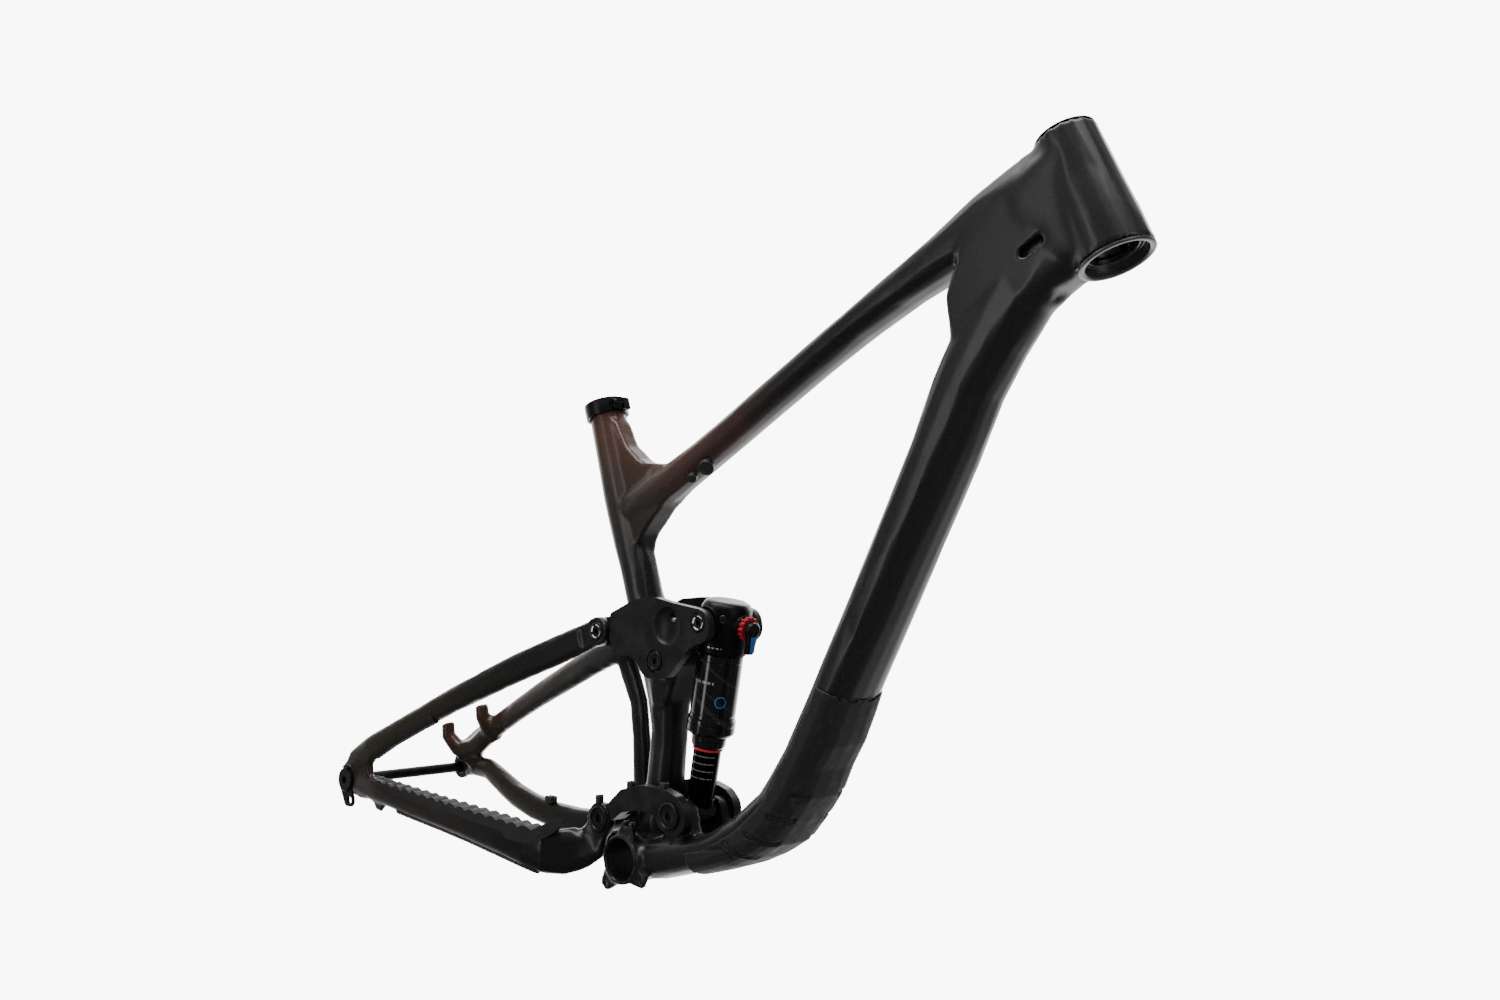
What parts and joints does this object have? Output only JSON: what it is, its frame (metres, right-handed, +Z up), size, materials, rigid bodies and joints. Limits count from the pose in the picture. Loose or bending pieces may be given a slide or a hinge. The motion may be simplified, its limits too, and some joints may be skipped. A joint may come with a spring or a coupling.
{
  "type": "bicycle frame",
  "caption": "Full-suspension mountain bike frame: carbon front and rear triangles, a rocker link, a short lower link and an upright air shock.",
  "frame": {"origin": "centre of the bottom bracket shell, on its bore axis", "axes": "+X forward, +Y to the rider's left, +Z up, with the frame level as it stands on its wheels"},
  "size_m": [0.9853, 0.1744, 0.6726],
  "materials": {
    "carbon": "satin charcoal carbon lay-up under matt clear coat",
    "stay_paint": "satin colour-shift brown to olive paint on carbon",
    "link_black": "satin black anodised forging",
    "anodised": "black anodised, machined",
    "bolt_steel": "dark coated steel",
    "grey_alu": "grey anodised",
    "rubber": "matt moulded rubber",
    "gloss_black": "gloss black",
    "red": "red anodised",
    "o_ring": "red rubber",
    "plastic": "black moulded plastic",
    "bearing": "ground bearing steel"
  },
  "bodies": {
    "front": {"front_triangle": "carbon", "head_cup_upper": "anodised", "head_cup_lower": "grey_alu", "seat_clamp": "anodised", "seat_clamp_bolt": "bolt_steel", "down_tube_guard": "rubber", "top_tube_plug_large": "plastic", "top_tube_plug_small": "plastic", "main_pivot_axle": "bolt_steel", "lower_front_axle": "bolt_steel", "main_pivot_cap_left": "bolt_steel", "main_pivot_cap_right": "bolt_steel", "lower_front_cap_left": "bolt_steel", "lower_front_cap_right": "bolt_steel"},
    "rocker": {"rocker_link": "link_black", "main_bearing_left": "bearing", "main_bearing_right": "bearing", "trunnion_bearing_left": "bearing", "trunnion_bearing_right": "bearing", "seatstay_bearing_left": "bearing", "seatstay_bearing_right": "bearing"},
    "rear": {"rear_triangle": "stay_paint", "chainstay_guard": "rubber", "chainstay_under_strip": "rubber", "seatstay_guard": "rubber", "derailleur_hanger": "anodised", "hanger_bolt": "anodised", "lower_rear_axle": "bolt_steel", "cable_clip_chainstay": "plastic", "cable_clip_ear": "plastic", "lower_rear_cap_left": "bolt_steel", "lower_rear_cap_right": "bolt_steel", "seatstay_bolt_left": "bolt_steel", "seatstay_bolt_right": "bolt_steel"},
    "wheel_axle": {"rear_axle": "anodised"},
    "link": {"lower_link": "link_black", "link_clip_front": "plastic", "link_clip_rear": "plastic", "link_front_bearing_left": "bearing", "link_front_bearing_right": "bearing", "link_rear_bearing_left": "bearing", "link_rear_bearing_right": "bearing"},
    "shock_can": {"shock_head": "anodised", "shock_air_can": "gloss_black", "air_valve_cap": "anodised", "travel_ring": "o_ring", "bleed_plug": "bolt_steel", "trunnion_bolt_left": "bolt_steel", "trunnion_bolt_right": "bolt_steel"},
    "shock_shaft": {"shock_shaft": "gloss_black", "shock_eye_bushing": "bearing"},
    "dial": {"rebound_dial": "red"},
    "lever": {"lock_lever": "anodised"}
  },
  "joints": [
    {"name": "rocker_pivot", "type": "hinge", "parent": "front", "child": "rocker", "pos_m": [0.035, 0, 0.193], "axis": [0, 1, 0], "range_deg": [0, 44], "stiffness_Nm_per_rad": 80},
    {"name": "seatstay_pivot", "type": "hinge", "parent": "rocker", "child": "rear", "pos_m": [-0.0475, 0, 0.2175], "axis": [0, 1, 0], "range_deg": [-33.6, 0]},
    {"name": "lower_link_pivot", "type": "hinge", "parent": "front", "child": "link", "pos_m": [0.063, 0, 0.05], "axis": [0, 1, 0], "range_deg": [0, 30.3]},
    {"name": "trunnion_pivot", "type": "hinge", "parent": "rocker", "child": "shock_can", "pos_m": [0.0935, 0, 0.2325], "axis": [0, 1, 0], "range_deg": [-35.3, 0]},
    {"name": "shock_stroke", "type": "slide", "parent": "shock_can", "child": "shock_shaft", "axis": [0.1648, 0, 0.9863], "range_m": [0, 0.0469]},
    {"name": "axle_withdrawal", "type": "slide", "parent": "rear", "child": "wheel_axle", "axis": [0, 1, 0], "range_m": [0, 0.18]},
    {"name": "rebound_turn", "type": "hinge", "parent": "shock_can", "child": "dial", "pos_m": [0.0935, 0, 0.2325], "axis": [0.9863, 0, -0.1648], "range_deg": [-170, 170]},
    {"name": "lockout_turn", "type": "hinge", "parent": "shock_can", "child": "lever", "pos_m": [0.0935, 0, 0.2325], "axis": [0.9863, 0, -0.1648], "range_deg": [-75, 0]}
  ],
  "couplings": [
    {"joint": "seatstay_pivot", "follows": "rocker_pivot", "ratio": -0.75865},
    {"joint": "lower_link_pivot", "follows": "rocker_pivot", "ratio": 0.68427},
    {"joint": "trunnion_pivot", "follows": "rocker_pivot", "ratio": -0.7987},
    {"joint": "shock_stroke", "follows": "rocker_pivot", "m_per_rad": 0.06091}
  ]
}
